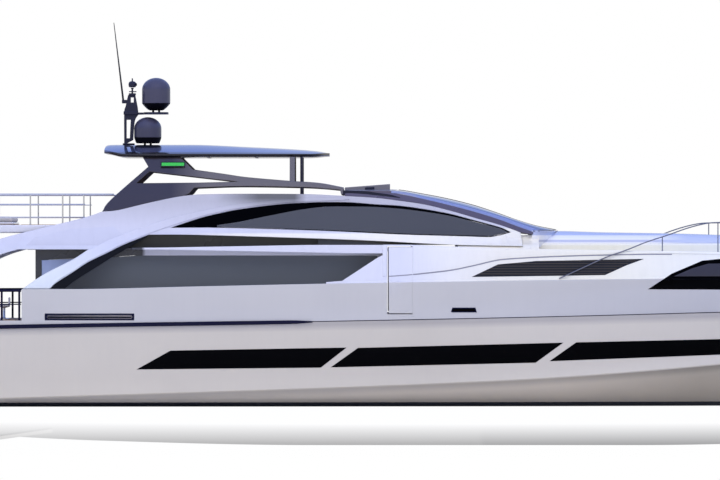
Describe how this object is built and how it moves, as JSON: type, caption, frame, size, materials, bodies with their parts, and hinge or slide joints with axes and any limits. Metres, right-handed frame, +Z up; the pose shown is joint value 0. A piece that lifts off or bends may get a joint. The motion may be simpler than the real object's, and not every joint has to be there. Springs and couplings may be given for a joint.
{
  "type": "motor yacht, half-scale model",
  "caption": "Half-scale motor yacht with raised wheelhouse, saloon behind side decks, flybridge under a hardtop, mast and domes, opening doors, propellers and rudders.",
  "frame": {"origin": "on the waterline, on the centre line, amidships", "axes": "+X to the bow, +Y to port, +Z up"},
  "size_m": [21.425, 4.35, 7.4907],
  "materials": {
    "hull_white": "polished gelcoat, pearl grey",
    "cabin_white": "polished gelcoat, cool white",
    "deck_teak": "oiled teak planking with dark caulking",
    "dark_glass": "flush bonded glass, deep tint",
    "grey_glass": "tinted safety glass",
    "dark_metal": "gloss dark grey metallic paint",
    "dome_grey": "satin dark grey",
    "navy": "satin navy paint",
    "steel": "polished stainless tube",
    "bronze": "ground bronze",
    "cushion": "pale outdoor cloth",
    "signal_green": "green lens",
    "signal_red": "red lens"
  },
  "bodies": {
    "yacht": {"aft_glazing": "grey_glass", "bow_rail": "steel", "bow_window_port": "dark_glass", "bow_window_starboard": "dark_glass", "cockpit_chair": "cushion", "cockpit_rail_port": "navy", "cockpit_rail_starboard": "navy", "cockpit_sofa": "cushion", "cockpit_table": "deck_teak", "fly_deck": "cabin_white", "fly_rail": "steel", "fly_sofa": "cushion", "fly_sunbed": "cushion", "foredeck": "cabin_white", "foredeck_pad": "cushion", "forehouse_port": "cabin_white", "forehouse_starboard": "cabin_white", "grille_port": "navy", "grille_starboard": "navy", "hardtop": "dark_metal", "hardtop_frame_port": "dark_metal", "hardtop_frame_starboard": "dark_metal", "hull": "hull_white", "hull_windows_port": "dark_glass", "hull_windows_starboard": "dark_glass", "lower_dome": "dome_grey", "mast": "dark_metal", "nav_light_port": "signal_red", "nav_light_starboard": "signal_green", "pilot_glass_port": "dark_glass", "pilot_glass_starboard": "dark_glass", "saloon_glass_port": "grey_glass", "saloon_glass_starboard": "grey_glass", "saloon_sofa": "cushion", "saloon_walls": "cabin_white", "screen_frame_port": "dark_metal", "screen_frame_starboard": "dark_metal", "shaft_port": "steel", "shaft_starboard": "steel", "swim_platform": "deck_teak", "trunk_top": "dark_glass", "upper_deck": "cabin_white", "upper_dome": "dome_grey", "wheelhouse_bulkhead": "cabin_white", "wheelhouse_roof": "cabin_white", "wheelhouse_sole": "deck_teak", "windscreen": "dark_glass", "wing_port": "cabin_white", "wing_starboard": "cabin_white"},
    "side_door_starboard": {"side_door_starboard": "cabin_white"},
    "side_door_port": {"side_door_port": "cabin_white"},
    "saloon_door_starboard": {"saloon_door_starboard": "grey_glass"},
    "saloon_door_port": {"saloon_door_port": "grey_glass"},
    "transom_door": {"transom_door": "hull_white"},
    "hatch_lid": {"hatch_lid": "cabin_white"},
    "camera_head": {"camera_head": "dome_grey"},
    "propeller_starboard": {"propeller_starboard": "bronze"},
    "propeller_port": {"propeller_port": "bronze"},
    "rudder_starboard": {"rudder_starboard": "bronze"},
    "rudder_port": {"rudder_port": "bronze"}
  },
  "joints": [
    {"name": "side_door_hinge_starboard", "type": "hinge", "parent": "yacht", "child": "side_door_starboard", "pos_m": [0.2, -2.2515, 1.54], "axis": [0, 0.158, 0.9874], "range_deg": [0, 95]},
    {"name": "side_door_hinge_port", "type": "hinge", "parent": "yacht", "child": "side_door_port", "pos_m": [0.2, 2.2515, 1.54], "axis": [0, 0.158, -0.9874], "range_deg": [0, 95]},
    {"name": "saloon_door_slide_starboard", "type": "slide", "parent": "yacht", "child": "saloon_door_starboard", "axis": [0, -1, 0], "range_m": [0, 0.45]},
    {"name": "saloon_door_slide_port", "type": "slide", "parent": "yacht", "child": "saloon_door_port", "axis": [0, 1, 0], "range_m": [0, 0.45]},
    {"name": "transom_door_hinge", "type": "hinge", "parent": "yacht", "child": "transom_door", "pos_m": [-9.52325, 0, 1.175], "axis": [0, 1, 0], "range_deg": [0, 85]},
    {"name": "hatch_lid_hinge", "type": "hinge", "parent": "yacht", "child": "hatch_lid", "pos_m": [7.905, 0, 2.46695], "axis": [0, -1, 0], "range_deg": [0, 85]},
    {"name": "camera_pan", "type": "hinge", "parent": "yacht", "child": "camera_head", "pos_m": [-4.49, 0, 5.33], "axis": [0, 0, 1], "continuous": true},
    {"name": "propeller_turn_starboard", "type": "hinge", "parent": "yacht", "child": "propeller_starboard", "pos_m": [-8.31, -0.8, -0.75], "axis": [0.9903, 0, 0.1387], "continuous": true},
    {"name": "propeller_turn_port", "type": "hinge", "parent": "yacht", "child": "propeller_port", "pos_m": [-8.31, 0.8, -0.75], "axis": [0.9903, 0, 0.1387], "continuous": true},
    {"name": "rudder_turn_starboard", "type": "hinge", "parent": "yacht", "child": "rudder_starboard", "pos_m": [-9.05, -0.8, -0.375], "axis": [0, 0, 1], "range_deg": [-35, 35]},
    {"name": "rudder_turn_port", "type": "hinge", "parent": "yacht", "child": "rudder_port", "pos_m": [-9.05, 0.8, -0.375], "axis": [0, 0, 1], "range_deg": [-35, 35]}
  ],
  "couplings": [
    {"joint": "rudder_turn_port", "follows": "rudder_turn_starboard", "ratio": 1}
  ]
}
